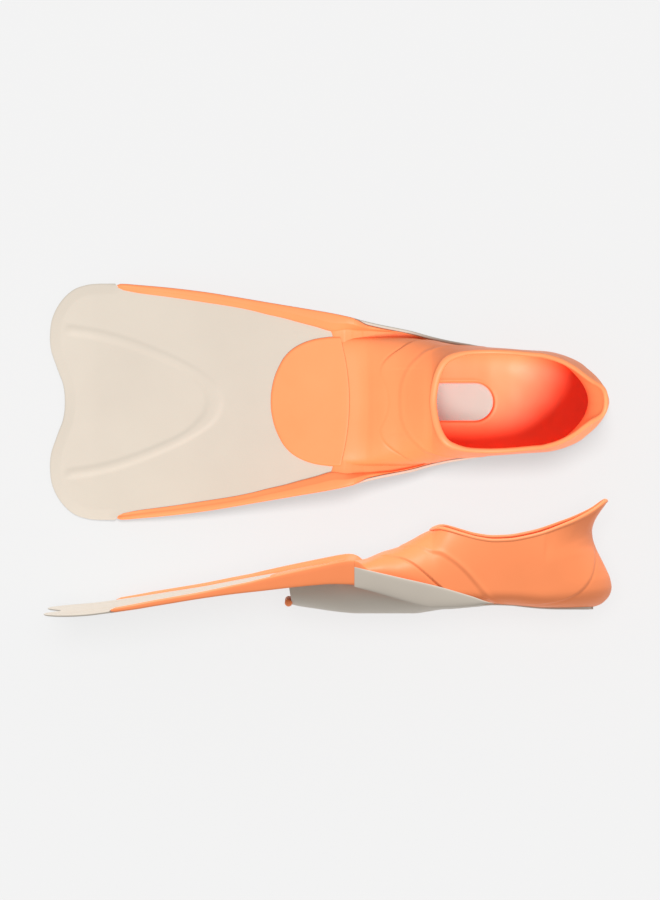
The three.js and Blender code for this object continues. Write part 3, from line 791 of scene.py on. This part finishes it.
def rim_mesh():
    """Rolled edge of the foot opening, a closed loop."""
    first = int((STATION <= MOUTH_X + 1e-6).sum()) - 1
    half = POCKET[first:, -1] - NORMAL[first:, -1] * 1.5
    half[0, 1] = 0
    half[-1, 1] = 0
    half[:, 2] += 0.15
    loop = np.concatenate([half, (half * [1, -1, 1])[::-1][1:-1]])
    loop = np.concatenate([loop, loop[:1]])
    loop = resample(loop, 421)[:-1]
    for _ in range(6):
        loop = 0.5 * loop + 0.25 * (np.roll(loop, 1, 0) + np.roll(loop, -1, 0))
    tan = np.roll(loop, -1, 0) - np.roll(loop, 1, 0)
    tan /= np.linalg.norm(tan, axis=1, keepdims=True)
    up = np.array([0, 0, 1.0])
    side = np.cross(tan, up)
    side /= np.linalg.norm(side, axis=1, keepdims=True)
    nrm = np.cross(side, tan)
    wide = (1.0 + 0.5 * smooth(128, 100, loop[:, 0]))[:, None]  # the roll is broadest over the instep
    rings = []
    for a in np.linspace(0, 2 * math.pi, 20, endpoint=False):
        rings.append(loop + side * (2.15 * math.cos(a)) * wide + nrm * (1.95 * math.sin(a)))
    R = np.stack(rings, 1)
    k, m, _ = R.shape
    faces = []
    for i in range(k):
        for j in range(m):
            a, b = i * m + j, i * m + (j + 1) % m
            c, d = ((i + 1) % k) * m + (j + 1) % m, ((i + 1) % k) * m + j
            faces.append((a, b, c, d))
    return R.reshape(-1, 3), faces


# ---------------------------------------------------------------- sole
def sole_mesh():
    xs = np.concatenate([np.linspace(-33, -20, 14), np.linspace(-20, 96, 90)[1:], np.linspace(96, 150, 60)[1:], np.linspace(150, 234, 70)[1:]])
    k = 60
    lines, ends = [], []
    for x in xs:
        xx = min(x, 190.0)
        p = section(xx, PHI)
        if x > 190:
            p = p + [0, float(POCKET_LOW(x)) - float(POCKET_LOW(190.0))]
        i_side = int(np.searchsorted(p[:, 1], float(SPLIT(min(x, 140)))))
        half_w = float(np.interp(x, [96, 118, 140, 165, 205, 222, 230, 234], [60, 46, 33, 27, 26, 21, 14, 3]))
        i_w = int(np.argmin(np.abs(p[:MID_J, 0] - half_w))) if half_w < p[MID_J - 1, 0] else MID_J
        f = float(smooth(98, 120, x))
        i_end = int(round(i_side * (1 - f) + min(i_w, i_side if x < 118 else i_w) * f))
        lines.append(p)
        ends.append(float(np.linalg.norm(np.diff(p[: max(i_end, 12) + 1], axis=0), axis=1).sum()))
    # the edge of the sole runs without steps behind the arch
    even = np.array([np.average(ends, weights=np.exp(-(((xs - x) / 5.0) ** 2)) * np.gradient(xs)) for x in xs])
    ends = np.array(ends) + (even - np.array(ends)) * smooth(92, 102, xs) * smooth(232, 226, xs)
    outer = []
    for x, p, end in zip(xs, lines, ends):
        run = np.r_[0, np.cumsum(np.linalg.norm(np.diff(p, axis=0), axis=1))]
        at = np.linspace(0, min(end, run[-1]), k)
        line = np.column_stack([np.interp(at, run, p[:, 0]), np.interp(at, run, p[:, 1])])
        line[0, 0] = 0
        outer.append(np.column_stack([np.full(k, x), line]))
    O = np.array(outer)
    n = sheet_normals(O)
    if n[30, 4, 2] > 0:
        n = -n
    n[:, 0, 1] = 0
    O = O + n * (1.0 * smooth(92, 110, xs))[:, None, None]
    O[:, :, 2] = np.maximum(O[:, :, 2], 0.0)
    I = O - n * 2.9
    for G in (O, I):
        # the front edge of the side walls leans forwards to the blade
        fade = (1 - smooth(-33, -8, xs))[:, None]
        G[:, :, 0] -= 3 * fade * np.clip((G[:, :, 2] - 8) / 19, 0, 1)
    I[:, 0, 1] = 0
    O[:, 0, 1] = 0
    nu, nv, _ = O.shape
    parts, faces, off = [], [], 0
    for side in (1, -1):
        m = np.array([1, side, 1])
        parts += [(O * m).reshape(-1, 3), (I * m).reshape(-1, 3)]
        c = nu * nv
        faces += [tuple(off + a for a in q) for q in grid(nu, nv, flip=side > 0)]
        faces += [tuple(off + c + a for a in q) for q in grid(nu, nv, flip=side < 0)]
        for chain in ([a * nv + nv - 1 for a in range(nu)], list(range(nv)), [(nu - 1) * nv + a for a in range(nv)]):
            for a, b in zip(chain, chain[1:]):
                faces.append((off + a, off + b, off + c + b, off + c + a))
        off += 2 * c
    return np.concatenate(parts), faces


# ---------------------------------------------------------------- footbed, insert, lip
FLOOR_W = pchip([
    (-30, 36), (-20, 41), (0, 46), (14, 51.5), (30, 53), (60, 53.2), (73.8, 52.6), (88.2, 50.6), (102.6, 48),
    (117, 46), (131.4, 45), (145.8, 45), (174.6, 43.4), (190, 41.6), (203.4, 38.6), (217.8, 31.6), (228, 24.4),
    (236, 17), (242, 9.6), (245.5, 2.5),
])


def floor_z(X, Y):
    w = FLOOR_W(X)
    q = np.clip(np.abs(Y) / w, 0, 1)
    base = POCKET_LOW(X) + 5.8 + 1.5 * smooth(205, 240, X) * 1.0
    side = 9.0 * q**5
    return base + side + 5.5 * np.clip((X - 214) / 30, 0, 1) ** 2


def in_window(X, Y, grow=0.0):
    """Distance outside the stadium window; negative inside."""
    r = 17.6 + grow
    xc = 147.0 - 17.6
    dx = np.where(X > xc, X - xc, 0.0)
    d = np.hypot(dx, Y) - r
    return np.maximum(d, 52.0 - grow - X)


def footbed_mesh():
    xs = np.concatenate([np.linspace(-28, 50, 40), np.linspace(50, 150, 130)[1:], np.linspace(150, 245.2, 80)[1:]])
    k = np.linspace(-1, 1, 121)
    X = np.repeat(xs[:, None], 121, 1)
    wide = []
    for x in xs:
        p = section(min(x, 190.0), PHI)
        z = float(POCKET_LOW(x)) + 11.2
        wide.append(min(float(FLOOR_W(x)) - 0.2, float(np.interp(z, p[:, 1], p[:, 0])) - 1.6 if x <= 190 else 99))
    Y = np.array(wide)[:, None] * k[None, :]
    Z = floor_z(X, Y)
    d = in_window(X, Y)
    Z = Z - 2.0 * (1 - smooth(-0.5, 0.9, d)) + 0.35 * np.exp(-(((d - 1.6) / 1.2) ** 2))
    top = np.stack([X, Y, Z], 2)
    low = np.stack([X, Y, floor_z(X, Y) - 2.9], 2)
    return both_sides(top, low)


def insert_mesh():
    nu, nv = 110, 61
    k = np.linspace(-1, 1, nv)
    u = np.linspace(0, 1, nu)
    r = 17.2
    xc = 147.0 - 17.6
    tip = np.sqrt(np.clip(1 - k**2, 0, 1)) * r
    X = 53 + (xc + tip[None, :] - 53) * u[:, None]
    Y = np.repeat((k * r)[None, :], nu, 0)
    d = -in_window(X, Y, grow=-0.4)
    prof = np.sqrt(np.clip(1 - (1 - np.clip(d / 1.2, 0, 1)) ** 2, 0, 1))
    base = floor_z(X, Y)
    top = np.stack([X, Y, base - 1.9 + 1.35 * prof], 2)
    low = np.stack([X, Y, base - 2.6], 2)
    return both_sides(top, low)


def lip_mesh():
    rings = []
    for y in np.concatenate([[-36.2], np.linspace(-36, -33, 8), np.linspace(-33, 33, 40)[1:-1], np.linspace(33, 36, 8), [36.2]]):
        r = 3.4 * math.sqrt(max(0.02, 1 - max(0.0, (abs(y) - 32.8) / 3.45) ** 2))
        zc = 9.9 + 0.9 * (abs(y) / 36) ** 3
        rings.append([(-36.2 + r * math.cos(t), y, zc + r * math.sin(t)) for t in np.linspace(0, 2 * math.pi, 24, endpoint=False)])
    return tube_of(rings)


# ---------------------------------------------------------------- build both fins
SHAPES = {
    "blade_plate": (blade_mesh(), PALE, "stiff_pale", dict(bend=BEND, sharp=50), ("blade", "blade_root")),
    "rail_left": (rail_mesh(-1), ORANGE, "soft_orange", dict(bend=BEND, sharp=45), ("rail_front_left", "rail_rear_left")),
    "rail_right": (rail_mesh(1), ORANGE, "soft_orange", dict(bend=BEND, sharp=45), ("rail_front_right", "rail_rear_right")),
    "wing_skin_left": (wing_mesh(-1), PALE, "stiff_pale", dict(sharp=45), ("wing_left",)),
    "wing_skin_right": (wing_mesh(1), PALE, "stiff_pale", dict(sharp=45), ("wing_right",)),
    "tongue": (panel_mesh(), ORANGE, "soft_orange", dict(sharp=60), ("toe_panel",)),
    "foot_pocket": (
        POCKET_SKIN, ORANGE, "soft_orange", dict(bend=TAB_BEND, weld=0.004, sharp=55),
        ("toe_cap", "instep_band", "heel_cup", "heel_tab"),
    ),
    # the pocket's inner face carries the painted-shade copy of the orange
    "pocket_lining": (POCKET_LINING, LINING_PAINTED_SHADE, "soft_orange", dict(bend=TAB_BEND, weld=0.004, sharp=70), ()),
    # the rim bead carries the lighter, painted-highlight copy of the orange
    "rim": (rim_mesh(), BEAD_PAINTED_HIGHLIGHT, "soft_orange", dict(bend=TAB_BEND), ("rim_bead",)),
    "sole_trough": (sole_mesh(), PALE, "stiff_pale", dict(weld=0.004, sharp=50), ("sole",)),
    # the footbed carries the painted-shade copy of the orange as well
    "footbed_liner": (footbed_mesh(), LINING_PAINTED_SHADE, "soft_orange", dict(sharp=60), ("footbed",)),
    "footbed_window": (insert_mesh(), PALE_IN, "stiff_pale", dict(sharp=60), ("footbed_insert",)),
    "toe_bumper": (lip_mesh(), ORANGE, "soft_orange", dict(), ("toe_lip",)),
}
for f in "ab":
    for name, ((v, faces), mat, slot, kw, cad) in SHAPES.items():
        make(f"{name}_{f}", v, faces, f, mat, slot, cad=[c + "_" + f for c in cad], **kw)

# ---------------------------------------------------------------- studio
fm, nt, fb = principled("studio_floor")
fb.inputs["Base Color"].default_value = (0.15, 0.15, 0.15, 1)
fb.inputs["Emission Color"].default_value = (1, 1, 1, 1)
fb.inputs["Emission Strength"].default_value = 0.47
fb.inputs["Roughness"].default_value = 0.9
fb.inputs["Specular IOR Level"].default_value = 0.0
bpy.ops.mesh.primitive_plane_add(size=40, location=(0, 0, -0.0005))
floor = bpy.context.object
floor.name = "studio_floor"
floor.data.materials.append(fm)

world = bpy.data.worlds.new("studio")
bpy.context.scene.world = world
world.use_nodes = True
bg = world.node_tree.nodes["Background"]
bg.inputs[0].default_value = (1.0, 1.0, 1.0, 1)
bg.inputs[1].default_value = 0.60


def group(name, objects):
    c = bpy.data.collections.new(name)
    for o in objects:
        c.objects.link(o)
    return c


def soft_light(name, towards, level, angle, lit, blockers=None):
    """Soft distant lamp. level is what it adds to a white surface that faces it."""
    data = bpy.data.lights.new(name, "SUN")
    data.angle = math.radians(angle)
    data.energy = level * math.pi
    ob = bpy.data.objects.new(name, data)
    bpy.context.scene.collection.objects.link(ob)
    d = Vector(towards).normalized()
    ob.location = d * 2.5
    ob.rotation_mode = "QUATERNION"
    ob.rotation_quaternion = (-d).to_track_quat("-Z", "Y")
    ob.light_linking.receiver_collection = lit
    if blockers:
        ob.light_linking.blocker_collection = blockers
    return ob


INSIDE = ("pocket_lining_a", "footbed_liner_a")
ALL_A = [o for n, o in MADE.items() if n.endswith("_a")]
FIN_A = group("blocks_fin_a", ALL_A)
SKIN_A = group("lit_skin_a", [o for o in ALL_A if o.name not in INSIDE])
INNER_A = group("lit_inside_a", [o for o in ALL_A if o.name in INSIDE])
FIN_B = group("lit_fin_b", [o for n, o in MADE.items() if n.endswith("_b")])
FLOOR = group("lit_floor", [floor])
soft_light("key_skin_a", (0.12, -0.36, 0.93), 0.92, 26, SKIN_A, FIN_A)
soft_light("key_inside_a", (0.48, -0.42, 1.0), 4.6, 30, INNER_A, FIN_A)
soft_light("key_fin_b", (-0.10, 0.86, 0.45), 0.95, 30, FIN_B)
soft_light("key_floor_a", (0.05, 0.22, 1.0), 1.7, 18, FLOOR, FIN_A)
soft_light("key_floor_b", (0.0, 0.05, 1.0), 0.6, 18, FLOOR, FIN_B)

# camera straight above, long lens
AXIS = (0.00015, -0.0015)
H = 8.0
cam_data = bpy.data.cameras.new("camera")
cam = bpy.data.objects.new("camera", cam_data)
bpy.context.scene.collection.objects.link(cam)
cam_data.lens = 36 * H / (900 * 0.0009)
cam_data.sensor_width = 36
cam_data.clip_end = 100
cam.location = (AXIS[0], AXIS[1], H)
cam.rotation_euler = (0, 0, 0)
bpy.context.scene.camera = cam

sc = bpy.context.scene
sc.view_settings.view_transform = "Standard"
sc.view_settings.look = "None"
sc.view_settings.exposure = 0.0
sc.view_settings.gamma = 1.0
sc.cycles.max_bounces = 10
sc.cycles.diffuse_bounces = 6
sc.cycles.use_denoising = True
